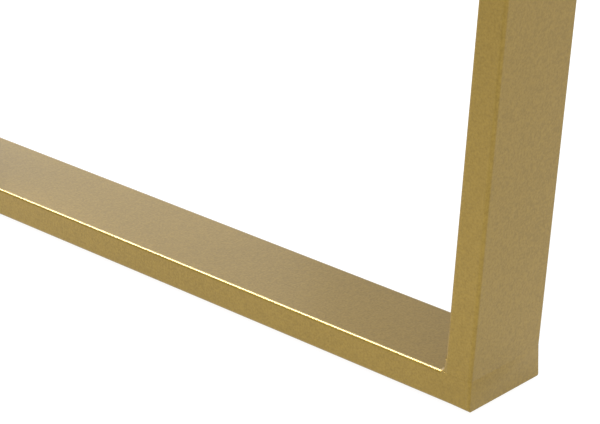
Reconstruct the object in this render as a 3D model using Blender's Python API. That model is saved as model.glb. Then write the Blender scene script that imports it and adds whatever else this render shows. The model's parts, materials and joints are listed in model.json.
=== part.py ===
"""A vanity table with a round tilting mirror, on two leaning steel sled frames.

Metres, +Z up. The sitter is on the -Y side. The origin is on the floor, in the middle of the
whole footprint with the drawer handles counted in.
Run it with: blender --background --python part.py
"""

import math

import bmesh
import bpy
from mathutils import Matrix, Vector

# Gaps between pieces
WELD_GAP = 0.0003          # two pieces that are welded, glued or screwed together
REVEAL = 0.002             # shadow gap round a drawer front
RUN_CLEARANCE = 0.0004     # a stud in its hole

# Table
TABLE_LENGTH = 1.000
TABLE_DEPTH = 0.500
TABLE_HEIGHT = 0.760
TOP_THICKNESS = 0.020
BOARD = 0.015              # carcass sides, bottom and divider
BACK_BOARD = 0.012
BAY_HEIGHT = 0.088         # clear height inside the carcass
BOARD_ROUND = 0.0015       # softened edges of the veneered boards

# Steel sled frames
TUBE_WIDTH = 0.050         # across the frame's plane
TUBE_THICKNESS = 0.015     # in the frame's plane
TUBE_WALL = 0.0012
TUBE_CORNER = 0.0015       # outer corner radius
TUBE_CORNER_STEPS = 3
CAP_THICKNESS = 0.0025     # plate that closes the end of a base bar
FRAME_SPLAY = 0.042        # how far the head of an upright stands out past its foot
FRAME_INSET = 0.030        # from the end of the table to the frame
FRAME_EDGE_INSET = 0.003   # from the table's front edge to the head of the upright
HEAD_STRIP = 0.005         # flat strip welded across the heads of the uprights
HEAD_HOLE_RADIUS = 0.0025
HEAD_HOLES = 4
HEAD_HOLE_SETBACK = 0.087  # from the end of the strip to its first hole
PAD_THICKNESS = 0.0015     # nylon glide under the base bar
PAD_LENGTH = 0.036
PAD_MARGIN = 0.006         # from the edge of the base bar to the glide
PAD_SETBACK = 0.012        # from the end of the base bar to the glide

# Drawers
FRONT_THICKNESS = 0.016
BOX_BOARD = 0.012
BOX_LIFT = 0.008           # from the carcass bottom to the drawer box
BOX_HEADROOM = 0.010       # from the drawer box to the table top
BOX_BACK_ROOM = 0.060      # from the drawer box to the back panel
BOX_BOTTOM = 0.005
GROOVE_DEPTH = 0.006
GROOVE_LIFT = 0.009        # from the box's lower edge to its groove
GROOVE_PLAY = 0.0003
BOX_ROUND = 0.0008

# Telescopic slides
SLIDE_SPACE = 0.0127       # from the carcass to the drawer box
SLIDE_HEIGHT = 0.035
SLIDE_SHEET = 0.0012
SLIDE_FLANGE = 0.0085
BALL_GAP = 0.0024          # ball track between two members
MIDDLE_FROM_WALL = 0.0032
INNER_TIP = 0.0056         # from the wall to the tips of the drawer member
SLIDE_SETBACK = 0.004      # behind the drawer front
SLIDE_SHORTFALL = 0.0117   # how much shorter the slides are than the drawer box

# Handles
HANDLE_CENTRES = 0.128
HANDLE_ROD = 0.009
HANDLE_PROJECTION = 0.024
HANDLE_BEND = 0.011
BEND_STEPS = 6

# Mirror
GLASS_RADIUS = 0.2450
GLASS_THICKNESS = 0.004
GLASS_BEVEL = 0.0015
GLASS_PLAY = 0.0035        # rubber-edged gap between the glass and the ring
BACK_PANEL = 0.006
RING_WALL = 0.0035
RING_LIP = 0.004           # how far the ring's front lip covers the glass
RING_LIP_THICKNESS = 0.002
RING_BACK_RECESS = 0.0054  # from the back of the ring in to the back panel
RING_STEPS = 96

# Yoke that carries the mirror
YOKE_ROD = 0.014
YOKE_STEPS = 40
YOKE_STRAIGHT = 0.006
LUG_THICKNESS = 0.014
LUG_RADIUS = 0.009
LUG_DROP = 0.014
BOSS_RADIUS = 0.008
BOSS_LENGTH = 0.008
WASHER_THICKNESS = 0.0015
STUD_RADIUS = 0.003
STUD_REACH = 0.007         # length of stud inside the boss
KNOB_RADIUS = 0.014
KNOB_LENGTH = 0.013
KNOB_CHAMFER = 0.0015
PLATE_RADIUS = 0.075
PLATE_THICKNESS = 0.006
PLATE_CHAMFER = 0.002
PLATE_MARGIN = 0.010       # from the table's back edge to the plate
SOCKET_HEIGHT = 0.032      # from the plate to the middle of the yoke's rod
SOCKET_TOP_RADIUS = 0.0105
SOCKET_FOOT_RADIUS = 0.024
ROUND_STEPS = 32

# Heights and depths that follow
TOP_UNDERSIDE = TABLE_HEIGHT - TOP_THICKNESS
BAY_FLOOR = TOP_UNDERSIDE - BAY_HEIGHT
CARCASS_UNDERSIDE = BAY_FLOOR - BOARD
BAR_BOTTOM = PAD_THICKNESS + WELD_GAP
BAR_TOP = BAR_BOTTOM + TUBE_THICKNESS
STRIP_TOP = CARCASS_UNDERSIDE - WELD_GAP
STRIP_BOTTOM = STRIP_TOP - HEAD_STRIP
UPRIGHT_FOOT = BAR_TOP + WELD_GAP
UPRIGHT_HEAD = STRIP_BOTTOM - WELD_GAP
FRONT_Y = -TABLE_DEPTH / 2
BACK_Y = TABLE_DEPTH / 2
FRONT_INSIDE_Y = FRONT_Y + FRONT_THICKNESS
CARCASS_FRONT_Y = FRONT_INSIDE_Y + REVEAL
HEAD_HALF = TABLE_DEPTH / 2 - FRAME_EDGE_INSET
BASE_LENGTH = 2 * (HEAD_HALF - FRAME_SPLAY)   # base bar with both of its end caps
BOX_HEIGHT = BAY_HEIGHT - BOX_LIFT - BOX_HEADROOM
BOX_LENGTH = BACK_Y - BACK_BOARD - BOX_BACK_ROOM - FRONT_INSIDE_Y - WELD_GAP
SLIDE_LENGTH = BOX_LENGTH - SLIDE_SHORTFALL
RING_RADIUS = GLASS_RADIUS + GLASS_PLAY + RING_WALL
RING_FILLING = GLASS_THICKNESS + BACK_PANEL + 2 * WELD_GAP
RING_DEPTH = RING_LIP_THICKNESS + RING_FILLING + RING_BACK_RECESS
CENTRE_Y = HANDLE_PROJECTION / 2   # moves the table so that the footprint is centred

GOLD = ("gold_lacquer", (0.50, 0.36, 0.14, 1), 0.35, 1.0)
WALNUT = ("walnut_veneer", (0.23, 0.125, 0.065, 1), 0.4, 0.0)
BOX_WHITE = ("white_foil", (0.80, 0.80, 0.79, 1), 0.55, 0.0)
FLOCK = ("grey_flock", (0.35, 0.34, 0.34, 1), 0.95, 0.0)
ZINC = ("zinc", (0.60, 0.62, 0.64, 1), 0.35, 1.0)
NYLON = ("nylon", (0.05, 0.05, 0.05, 1), 0.6, 0.0)
SILVERED = ("silvered_glass", (0.92, 0.93, 0.93, 1), 0.03, 1.0)
BACKING = ("backing_board", (0.08, 0.08, 0.08, 1), 0.7, 0.0)


def clear_scene():
    for obj in list(bpy.data.objects):
        bpy.data.objects.remove(obj)


def material(name, colour, roughness, metallic):
    """The named material, made the first time it is asked for."""
    found = bpy.data.materials.get(name)
    if found:
        return found
    made = bpy.data.materials.new(name)
    made.use_nodes = True
    shader = made.node_tree.nodes["Principled BSDF"]
    shader.inputs["Base Color"].default_value = colour
    shader.inputs["Roughness"].default_value = roughness
    shader.inputs["Metallic"].default_value = metallic
    return made


def add(name, data, finish, at, parent):
    """Puts a mesh or curve in the scene as one piece, with its origin at the point `at`."""
    obj = bpy.data.objects.new(name, data)
    obj.data.materials.append(material(*finish))
    obj.location = at
    obj.parent = parent
    bpy.context.scene.collection.objects.link(obj)
    return obj


def add_bmesh(name, bm, finish, at, parent, smooth=False):
    bmesh.ops.recalc_face_normals(bm, faces=bm.faces)
    mesh = bpy.data.meshes.new(name)
    bm.to_mesh(mesh)
    bm.free()
    if smooth:
        mesh.shade_smooth()
        mesh.set_sharp_from_angle(angle=math.radians(35))
    return add(name, mesh, finish, at, parent)


def add_empty(name, at, parent=None):
    obj = bpy.data.objects.new(name, None)
    obj.location = at
    obj.parent = parent
    bpy.context.scene.collection.objects.link(obj)
    return obj


def board(name, low, high, finish, parent, rounding=BOARD_ROUND):
    """A rectangular board between two corners, with softened edges."""
    low, high = Vector(low), Vector(high)
    bm = bmesh.new()
    bmesh.ops.create_cube(bm, size=1.0)
    bmesh.ops.scale(bm, vec=high - low, verts=bm.verts)
    obj = add_bmesh(name, bm, finish, (low + high) / 2, parent)
    soften = obj.modifiers.new("soften", "BEVEL")
    soften.width = rounding
    soften.segments = 2
    return obj


def rounded_rectangle(width, height, radius, steps):
    """Points round a rectangle centred on the origin, with its corners turned to a radius."""
    points = []
    for corner in range(4):
        turn = corner * math.pi / 2
        across = width / 2 - radius if corner in (0, 3) else radius - width / 2
        up = height / 2 - radius if corner in (0, 1) else radius - height / 2
        for step in range(steps + 1):
            angle = turn + step / steps * math.pi / 2
            points.append((across + radius * math.cos(angle), up + radius * math.sin(angle)))
    return points


def extrusion(name, loops, placed, travel, finish, parent, at=(0, 0, 0)):
    """An outline, with an optional inner outline as its hole, carried in a straight line.

    `placed` turns an outline's pair of numbers into a point.
    """
    bm = bmesh.new()
    edges = []
    for loop in loops:
        corners = [bm.verts.new(placed(u, v)) for u, v in loop]
        edges += [bm.edges.new((a, b)) for a, b in zip(corners, corners[1:] + corners[:1])]
    if len(loops) == 2:
        faces = bmesh.ops.bridge_loops(bm, edges=edges)["faces"]
    else:
        faces = [bm.faces.new(corners)]
    carried = bmesh.ops.extrude_face_region(bm, geom=faces)["geom"]
    moved = [item for item in carried if isinstance(item, bmesh.types.BMVert)]
    bmesh.ops.translate(bm, verts=moved, vec=travel)
    return add_bmesh(name, bm, finish, at, parent, smooth=True)


def turned(name, profile, finish, parent, at, axis, steps=ROUND_STEPS, closed=False):
    """A profile of (radius, height) points spun about `axis`, which starts out as +Z.

    A closed profile leaves a hole along the axis.
    """
    bm = bmesh.new()
    points = [bm.verts.new((radius, 0, height)) for radius, height in profile]
    ends = points[1:] + points[:1] if closed else points[1:]
    edges = [bm.edges.new((a, b)) for a, b in zip(points, ends)]
    bmesh.ops.spin(
        bm,
        geom=points + edges,
        cent=(0, 0, 0),
        axis=(0, 0, 1),
        angle=math.tau,
        steps=steps,
        use_merge=True,
    )
    bmesh.ops.remove_doubles(bm, verts=bm.verts, dist=1e-6)
    aim = Vector(axis).to_track_quat("Z", "Y").to_matrix().to_4x4()
    bmesh.ops.transform(bm, matrix=aim, verts=bm.verts)
    return add_bmesh(name, bm, finish, at, parent, smooth=True)


def bent_rod(name, points, diameter, finish, parent, at, resolution=4):
    """A round rod along a row of points, cut square at both ends."""
    curve = bpy.data.curves.new(name, "CURVE")
    curve.dimensions = "3D"
    curve.bevel_depth = diameter / 2
    curve.bevel_resolution = resolution
    curve.use_fill_caps = True
    spline = curve.splines.new("POLY")
    spline.points.add(len(points) - 1)
    for place, point in zip(spline.points, points):
        place.co = (*point, 1)
    return add(name, curve, finish, at, parent)


def tube_loops():
    """Outer and inner outline of the frames' flat tube, width first."""
    inner_corner = TUBE_CORNER - TUBE_WALL
    return (
        rounded_rectangle(TUBE_WIDTH, TUBE_THICKNESS, TUBE_CORNER, TUBE_CORNER_STEPS),
        rounded_rectangle(
            TUBE_WIDTH - 2 * TUBE_WALL,
            TUBE_THICKNESS - 2 * TUBE_WALL,
            inner_corner,
            TUBE_CORNER_STEPS,
        ),
    )


def base_bar(side, centre_x, parent):
    """The tube on the floor, and the plates welded over its two open ends."""
    half_bar = BASE_LENGTH / 2 - CAP_THICKNESS - WELD_GAP
    middle = (BAR_BOTTOM + BAR_TOP) / 2
    outer, inner = tube_loops()
    extrusion(
        f"{side}_base_bar",
        (outer, inner),
        lambda u, v: (u, -half_bar, v),
        (0, 2 * half_bar, 0),
        GOLD,
        parent,
        (centre_x, 0, middle),
    )
    for end, start in (("front", -BASE_LENGTH / 2), ("back", BASE_LENGTH / 2 - CAP_THICKNESS)):
        extrusion(
            f"{side}_base_cap_{end}",
            (outer,),
            lambda u, v: (u, 0, v),
            (0, CAP_THICKNESS, 0),
            GOLD,
            parent,
            (centre_x, start, middle),
        )


def upright(side, end, centre_x, parent):
    """A tube standing on the base bar and leaning outward, with both ends cut level."""
    outward = -1 if end == "front" else 1
    height = UPRIGHT_HEAD - UPRIGHT_FOOT
    stretch = math.hypot(height, FRAME_SPLAY) / height   # a level cut makes the tube's end longer
    foot_y = outward * (BASE_LENGTH - TUBE_THICKNESS * stretch) / 2
    extrusion(
        f"{side}_{end}_upright",
        tube_loops(),
        lambda u, v: (u, v * stretch, 0),
        (0, outward * FRAME_SPLAY, height),
        GOLD,
        parent,
        (centre_x, foot_y, UPRIGHT_FOOT),
    )


def head_strip(side, centre_x, parent):
    """The flat strip across the uprights, with the holes for the screws into the carcass."""
    outline = rounded_rectangle(TUBE_WIDTH, 2 * HEAD_HALF, TUBE_CORNER, TUBE_CORNER_STEPS)
    strip = extrusion(
        f"{side}_head_strip",
        (outline,),
        lambda u, v: (u, v, 0),
        (0, 0, HEAD_STRIP),
        GOLD,
        parent,
        (centre_x, 0, STRIP_BOTTOM),
    )
    first_hole = HEAD_HOLE_SETBACK - HEAD_HALF
    for number in range(HEAD_HOLES):
        hole_y = first_hole * (1 - 2 * number / (HEAD_HOLES - 1))
        bm = bmesh.new()
        bmesh.ops.create_cone(
            bm,
            cap_ends=True,
            segments=16,
            radius1=HEAD_HOLE_RADIUS,
            radius2=HEAD_HOLE_RADIUS,
            depth=4 * HEAD_STRIP,
        )
        at = (centre_x, hole_y, STRIP_BOTTOM + HEAD_STRIP / 2)
        drill = add_bmesh(f"{side}_strip_drill_{number}", bm, ZINC, at, parent)
        drill.hide_render = True
        drill.display_type = "WIRE"
        hole = strip.modifiers.new(f"hole_{number}", "BOOLEAN")
        hole.operation = "DIFFERENCE"
        hole.object = drill


def glide(side, end, centre_x, parent):
    """A thin nylon pad stuck under the base bar, out of sight behind its edges."""
    outward = -1 if end == "front" else 1
    centre_y = outward * (BASE_LENGTH / 2 - PAD_SETBACK - PAD_LENGTH / 2)
    pad_width = TUBE_WIDTH - 2 * PAD_MARGIN
    outline = rounded_rectangle(pad_width, PAD_LENGTH, PAD_MARGIN, TUBE_CORNER_STEPS)
    extrusion(
        f"{side}_{end}_glide",
        (outline,),
        lambda u, v: (u, v, 0),
        (0, 0, PAD_THICKNESS),
        NYLON,
        parent,
        (centre_x, centre_y, 0),
    )


def sled_frame(side, parent):
    outward = -1 if side == "left" else 1
    centre_x = outward * (TABLE_LENGTH / 2 - FRAME_INSET - TUBE_WIDTH / 2)
    base_bar(side, centre_x, parent)
    head_strip(side, centre_x, parent)
    for end in ("front", "back"):
        upright(side, end, centre_x, parent)
        glide(side, end, centre_x, parent)


def carcass(parent):
    """The shallow cabinet: top, two sides, bottom, divider and back."""
    half = TABLE_LENGTH / 2
    side_top = TOP_UNDERSIDE - WELD_GAP
    inner = half - BOARD - WELD_GAP
    board(
        "table_top",
        (-half, FRONT_Y, TOP_UNDERSIDE),
        (half, BACK_Y, TABLE_HEIGHT),
        WALNUT,
        parent,
    )
    for side, outward in (("left", -1), ("right", 1)):
        ends = sorted((outward * half, outward * (half - BOARD)))
        board(
            f"{side}_side_panel",
            (ends[0], CARCASS_FRONT_Y, CARCASS_UNDERSIDE),
            (ends[1], BACK_Y, side_top),
            WALNUT,
            parent,
        )
    board(
        "bottom_panel",
        (-inner, CARCASS_FRONT_Y, CARCASS_UNDERSIDE),
        (inner, BACK_Y, BAY_FLOOR),
        WALNUT,
        parent,
    )
    board(
        "back_panel",
        (-inner, BACK_Y - BACK_BOARD, BAY_FLOOR + WELD_GAP),
        (inner, BACK_Y, side_top),
        WALNUT,
        parent,
    )
    board(
        "centre_divider",
        (-BOARD / 2, CARCASS_FRONT_Y, BAY_FLOOR + WELD_GAP),
        (BOARD / 2, BACK_Y - BACK_BOARD - WELD_GAP, side_top),
        WALNUT,
        parent,
    )


def grooved_outline(thickness, height):
    """A board on edge, seen from its end: the groove for the drawer bottom is on its +u side."""
    groove_low = GROOVE_LIFT
    groove_high = GROOVE_LIFT + BOX_BOTTOM + 2 * GROOVE_PLAY
    return (
        (0, 0),
        (thickness, 0),
        (thickness, groove_low),
        (thickness - GROOVE_DEPTH, groove_low),
        (thickness - GROOVE_DEPTH, groove_high),
        (thickness, groove_high),
        (thickness, height),
        (0, height),
    )


def bottom_ends(left_x, right_x):
    """Both ends of the drawer bottom, which reaches into the grooves of the two sides."""
    reach = BOX_BOARD - GROOVE_DEPTH + 2 * GROOVE_PLAY
    return left_x + reach, right_x - reach


def drawer_box(side, left_x, right_x, floor_z, parent):
    """Grooved sides and back, with the flocked bottom held in the grooves."""
    outline = grooved_outline(BOX_BOARD, BOX_HEIGHT)
    start = FRONT_INSIDE_Y + WELD_GAP
    back_face = start + BOX_LENGTH
    for hand, at_x, inward in (("left", left_x, 1), ("right", right_x, -1)):
        extrusion(
            f"{side}_drawer_{hand}_side",
            (outline,),
            lambda u, v, inward=inward: (inward * u, 0, v),
            (0, BOX_LENGTH, 0),
            BOX_WHITE,
            parent,
            (at_x, start, floor_z),
        )
    inner_left = left_x + BOX_BOARD + WELD_GAP
    inner_right = right_x - BOX_BOARD - WELD_GAP
    extrusion(
        f"{side}_drawer_back",
        (outline,),
        lambda u, v: (0, -u, v),
        (inner_right - inner_left, 0, 0),
        BOX_WHITE,
        parent,
        (inner_left, back_face, floor_z),
    )
    held = GROOVE_DEPTH - 2 * GROOVE_PLAY
    bottom_z = floor_z + GROOVE_LIFT + GROOVE_PLAY
    low_x, high_x = bottom_ends(left_x, right_x)
    board(
        f"{side}_drawer_bottom",
        (low_x, FRONT_INSIDE_Y - held, bottom_z),
        (high_x, back_face - BOX_BOARD + held, bottom_z + BOX_BOTTOM),
        FLOCK,
        parent,
        BOX_ROUND / 2,
    )


def drawer_front(side, low_x, high_x, box_ends, floor_z, parent):
    """The front panel, with the groove that takes the front edge of the drawer bottom."""
    low_z = CARCASS_UNDERSIDE + REVEAL
    high_z = TOP_UNDERSIDE - REVEAL
    front = board(
        f"{side}_drawer_front",
        (low_x, FRONT_Y, low_z),
        (high_x, FRONT_INSIDE_Y, high_z),
        WALNUT,
        parent,
    )
    bm = bmesh.new()
    bmesh.ops.create_cube(bm, size=1.0)
    held_from, held_to = bottom_ends(*box_ends)
    groove_length = held_to - held_from + 2 * GROOVE_PLAY
    groove_height = BOX_BOTTOM + 2 * GROOVE_PLAY
    bmesh.ops.scale(bm, vec=(groove_length, 2 * GROOVE_DEPTH, groove_height), verts=bm.verts)
    groove_z = floor_z + GROOVE_LIFT + groove_height / 2
    at = ((held_from + held_to) / 2, FRONT_INSIDE_Y, groove_z)
    cutter = add_bmesh(f"{side}_front_groove_cutter", bm, ZINC, at, parent)
    cutter.hide_render = True
    cutter.display_type = "WIRE"
    groove = front.modifiers.new("groove", "BOOLEAN")
    groove.operation = "DIFFERENCE"
    groove.object = cutter


def handle(side, centre_x, parent):
    """A rod bent square at both ends, fixed to the front with a screw up each foot."""
    half = HANDLE_CENTRES / 2
    reach = HANDLE_PROJECTION - HANDLE_ROD / 2
    points = [(-half, -WELD_GAP, 0)]
    for outward in (-1, 1):
        bend = []
        for step in range(BEND_STEPS + 1):
            angle = step / BEND_STEPS * math.pi / 2
            across = half - HANDLE_BEND * (1 - math.cos(angle))
            out = reach - HANDLE_BEND * (1 - math.sin(angle))
            bend.append((outward * across, -out, 0))
        points += bend if outward < 0 else bend[::-1]
    points.append((half, -WELD_GAP, 0))
    centre_z = (CARCASS_UNDERSIDE + TOP_UNDERSIDE) / 2
    bent_rod(
        f"{side}_handle", points, HANDLE_ROD, GOLD, parent, (centre_x, FRONT_Y, centre_z)
    )


def slide_outlines():
    """The three members of a slide, seen from the front: u is the distance from the carcass."""
    half = SLIDE_HEIGHT / 2
    sheet = SLIDE_SHEET
    middle_half = half - sheet - BALL_GAP
    inner_half = middle_half - sheet - BALL_GAP
    middle_tip = SLIDE_SPACE - MIDDLE_FROM_WALL + sheet
    inner_back = SLIDE_SPACE - WELD_GAP
    return {
        "outer": channel(WELD_GAP, SLIDE_FLANGE, half),
        "middle": channel(MIDDLE_FROM_WALL, middle_tip, middle_half),
        "inner": channel(inner_back, INNER_TIP, inner_half),
    }


def channel(web, tip, half):
    """A sheet channel: its web stands at `web`, and its two flanges reach to `tip`."""
    sheet = SLIDE_SHEET if tip > web else -SLIDE_SHEET
    return (
        (web, -half),
        (tip, -half),
        (tip, -half + SLIDE_SHEET),
        (web + sheet, -half + SLIDE_SHEET),
        (web + sheet, half - SLIDE_SHEET),
        (tip, half - SLIDE_SHEET),
        (tip, half),
        (web, half),
    )


def slide(side, hand, wall_x, inward, centre_z, parents):
    """One telescopic slide. The middle member travels half as far as the drawer."""
    start = FRONT_INSIDE_Y + SLIDE_SETBACK
    for member, outline in slide_outlines().items():
        extrusion(
            f"{side}_drawer_{hand}_slide_{member}",
            (outline,),
            lambda u, v: (inward * u, 0, v),
            (0, SLIDE_LENGTH, 0),
            ZINC,
            parents[member],
            (wall_x, start, centre_z),
        )


def drawer(side, table):
    """One drawer with its front, box, handle and pair of slides."""
    outward = -1 if side == "left" else 1
    bay_ends = sorted((outward * BOARD / 2, outward * (TABLE_LENGTH / 2 - BOARD)))
    front_ends = sorted((outward * REVEAL / 2, outward * TABLE_LENGTH / 2))
    box_ends = (bay_ends[0] + SLIDE_SPACE, bay_ends[1] - SLIDE_SPACE)
    floor_z = BAY_FLOOR + BOX_LIFT
    moving = add_empty(f"{side}_drawer", (0, 0, 0), table)
    middle = add_empty(f"{side}_slide_middle", (0, 0, 0), table)
    drawer_front(side, *front_ends, box_ends, floor_z, moving)
    drawer_box(side, *box_ends, floor_z, moving)
    handle(side, sum(front_ends) / 2, moving)
    parents = {"outer": table, "middle": middle, "inner": moving}
    slide_z = floor_z + BOX_HEIGHT / 2
    slide(side, "left", bay_ends[0], 1, slide_z, parents)
    slide(side, "right", bay_ends[1], -1, slide_z, parents)


def pivot_height():
    """The mirror turns about a line this far above the floor."""
    rod_middle = TABLE_HEIGHT + WELD_GAP + PLATE_THICKNESS + SOCKET_HEIGHT
    return rod_middle + yoke_radius() + YOKE_STRAIGHT + WELD_GAP + LUG_DROP


def lug_inside():
    """Distance from the mirror's centre to the inner face of a lug."""
    return RING_RADIUS + 3 * WELD_GAP + BOSS_LENGTH + WASHER_THICKNESS


def yoke_radius():
    """Radius of the yoke's bend, at the middle of its rod."""
    return lug_inside() + LUG_THICKNESS / 2


def mirror_glass(moving):
    """Glass, its ring and its backing board, all turned about the mirror's own axis."""
    forward = (0, -1, 0)
    front = RING_DEPTH / 2
    glass_front = front - RING_LIP_THICKNESS - WELD_GAP
    glass_back = glass_front - GLASS_THICKNESS
    turned(
        "mirror_glass",
        (
            (0, glass_back),
            (GLASS_RADIUS, glass_back),
            (GLASS_RADIUS, glass_front - GLASS_BEVEL),
            (GLASS_RADIUS - GLASS_BEVEL, glass_front),
            (0, glass_front),
        ),
        SILVERED,
        moving,
        (0, 0, 0),
        forward,
        RING_STEPS,
    )
    panel_front = glass_back - WELD_GAP
    panel_back = panel_front - BACK_PANEL
    turned(
        "mirror_back_panel",
        ((0, panel_back), (GLASS_RADIUS, panel_back), (GLASS_RADIUS, panel_front), (0, panel_front)),
        BACKING,
        moving,
        (0, 0, 0),
        forward,
        RING_STEPS,
    )
    inside = RING_RADIUS - RING_WALL
    lip = GLASS_RADIUS - RING_LIP
    edge = RING_LIP_THICKNESS / 4
    turned(
        "mirror_ring",
        (
            (inside, -front),
            (RING_RADIUS - edge, -front),
            (RING_RADIUS, -front + edge),
            (RING_RADIUS, front - edge),
            (RING_RADIUS - edge, front),
            (lip + edge, front),
            (lip, front - edge),
            (lip, front - RING_LIP_THICKNESS),
            (inside, front - RING_LIP_THICKNESS),
        ),
        GOLD,
        moving,
        (0, 0, 0),
        forward,
        RING_STEPS,
        closed=True,
    )


def pivot(side, moving, stand):
    """Boss on the ring, friction washer, lug on the yoke, and the thumb knob through them all."""
    outward = -1 if side == "left" else 1
    hole = STUD_RADIUS + RUN_CLEARANCE
    axis = (outward, 0, 0)
    boss_start = RING_RADIUS + WELD_GAP
    boss_end = boss_start + BOSS_LENGTH
    turned(
        f"{side}_pivot_boss",
        ((hole, 0), (BOSS_RADIUS, 0), (BOSS_RADIUS, BOSS_LENGTH), (hole, BOSS_LENGTH)),
        GOLD,
        moving,
        (outward * boss_start, 0, 0),
        axis,
        closed=True,
    )
    turned(
        f"{side}_friction_washer",
        (
            (hole, 0),
            (BOSS_RADIUS, 0),
            (BOSS_RADIUS, WASHER_THICKNESS),
            (hole, WASHER_THICKNESS),
        ),
        NYLON,
        moving,
        (outward * (boss_end + WELD_GAP), 0, 0),
        axis,
        closed=True,
    )
    lug(side, outward, hole, stand)
    knob(side, outward, boss_end, moving)


def lug(side, outward, hole, stand):
    """The eye at the head of the yoke: round on top, flat where the rod is welded on."""
    outline = [(LUG_RADIUS, -LUG_DROP)]
    outline += [
        (LUG_RADIUS * math.cos(math.pi * step / 16), LUG_RADIUS * math.sin(math.pi * step / 16))
        for step in range(17)
    ]
    outline.append((-LUG_RADIUS, -LUG_DROP))
    piece = extrusion(
        f"{side}_yoke_lug",
        (outline,),
        lambda u, v: (0, u, v),
        (outward * LUG_THICKNESS, 0, 0),
        GOLD,
        stand,
        (outward * lug_inside(), 0, 0),
    )
    bm = bmesh.new()
    length = 3 * LUG_THICKNESS
    bmesh.ops.create_cone(
        bm, cap_ends=True, segments=ROUND_STEPS, radius1=hole, radius2=hole, depth=length
    )
    bmesh.ops.rotate(bm, matrix=Matrix.Rotation(math.pi / 2, 3, "Y"), verts=bm.verts)
    at = (outward * (lug_inside() + LUG_THICKNESS / 2), 0, 0)
    drill = add_bmesh(f"{side}_lug_drill", bm, ZINC, at, stand)
    drill.hide_render = True
    drill.display_type = "WIRE"
    bore = piece.modifiers.new("bore", "BOOLEAN")
    bore.operation = "DIFFERENCE"
    bore.object = drill


def knob(side, outward, boss_end, moving):
    """The thumb knob and the stud that clamps the lug against the boss."""
    knob_start = lug_inside() + LUG_THICKNESS + WELD_GAP
    stud = knob_start - (boss_end - STUD_REACH)
    turned(
        f"{side}_pivot_knob",
        (
            (0, -stud),
            (STUD_RADIUS, -stud),
            (STUD_RADIUS, 0),
            (KNOB_RADIUS - KNOB_CHAMFER, 0),
            (KNOB_RADIUS, KNOB_CHAMFER),
            (KNOB_RADIUS, KNOB_LENGTH - KNOB_CHAMFER),
            (KNOB_RADIUS - KNOB_CHAMFER, KNOB_LENGTH),
            (0, KNOB_LENGTH),
        ),
        GOLD,
        moving,
        (outward * knob_start, 0, 0),
        (outward, 0, 0),
    )


def yoke(stand, plate_z):
    """The half-round rod, its socket and the round plate screwed to the table top."""
    radius = yoke_radius()
    middle_z = -LUG_DROP - WELD_GAP - YOKE_STRAIGHT
    points = [(-radius, 0, middle_z + YOKE_STRAIGHT)]
    for step in range(YOKE_STEPS + 1):
        angle = math.pi * (1 + step / YOKE_STEPS)
        points.append((radius * math.cos(angle), 0, middle_z + radius * math.sin(angle)))
    points.append((radius, 0, middle_z + YOKE_STRAIGHT))
    bent_rod("mirror_yoke", points, YOKE_ROD, GOLD, stand, (0, 0, 0), resolution=6)
    turned(
        "yoke_plate",
        (
            (0, 0),
            (PLATE_RADIUS, 0),
            (PLATE_RADIUS, PLATE_THICKNESS - PLATE_CHAMFER),
            (PLATE_RADIUS - PLATE_CHAMFER, PLATE_THICKNESS),
            (0, PLATE_THICKNESS),
        ),
        GOLD,
        stand,
        (0, 0, plate_z),
        (0, 0, 1),
        2 * ROUND_STEPS,
    )
    socket(stand, plate_z + PLATE_THICKNESS + WELD_GAP, middle_z - radius)


def socket(stand, foot_z, rod_z):
    """A flared foot with a saddle across its head, in which the yoke's rod lies."""
    height = rod_z - foot_z
    flare = [
        (
            SOCKET_TOP_RADIUS
            + (SOCKET_FOOT_RADIUS - SOCKET_TOP_RADIUS) * (1 - step / 8) ** 2.5,
            height * step / 8,
        )
        for step in range(9)
    ]
    piece = turned(
        "yoke_socket", [(0, 0), *flare, (0, height)], GOLD, stand, (0, 0, foot_z), (0, 0, 1)
    )
    sagitta = SOCKET_TOP_RADIUS**2 / (2 * yoke_radius())
    saddle_radius = YOKE_ROD / 2 + WELD_GAP + sagitta
    bm = bmesh.new()
    bmesh.ops.create_cone(
        bm,
        cap_ends=True,
        segments=ROUND_STEPS,
        radius1=saddle_radius,
        radius2=saddle_radius,
        depth=4 * SOCKET_FOOT_RADIUS,
    )
    bmesh.ops.rotate(bm, matrix=Matrix.Rotation(math.pi / 2, 3, "Y"), verts=bm.verts)
    cutter = add_bmesh("saddle_cutter", bm, ZINC, (0, 0, rod_z), stand)
    cutter.hide_render = True
    cutter.display_type = "WIRE"
    saddle = piece.modifiers.new("saddle", "BOOLEAN")
    saddle.operation = "DIFFERENCE"
    saddle.object = cutter


def mirror(table):
    """The mirror on its tilt axis, and the yoke that carries it."""
    axis_at = (0, BACK_Y - PLATE_MARGIN - PLATE_RADIUS, pivot_height())
    moving = add_empty("mirror", axis_at, table)
    stand = add_empty("mirror_stand", axis_at, table)
    mirror_glass(moving)
    for side in ("left", "right"):
        pivot(side, moving, stand)
    yoke(stand, TABLE_HEIGHT + WELD_GAP - pivot_height())


def main():
    clear_scene()
    table = add_empty("table", (0, CENTRE_Y, 0))
    for side in ("left", "right"):
        sled_frame(side, table)
    carcass(table)
    for side in ("left", "right"):
        drawer(side, table)
    mirror(table)


main()
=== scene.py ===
"""The looks of a vanity table: gold sled legs, a walnut cabinet with two drawers, a round mirror.

Lengths are metres, +Z is up, the sitter is on the -Y side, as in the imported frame.
"""
import json
import math

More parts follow.
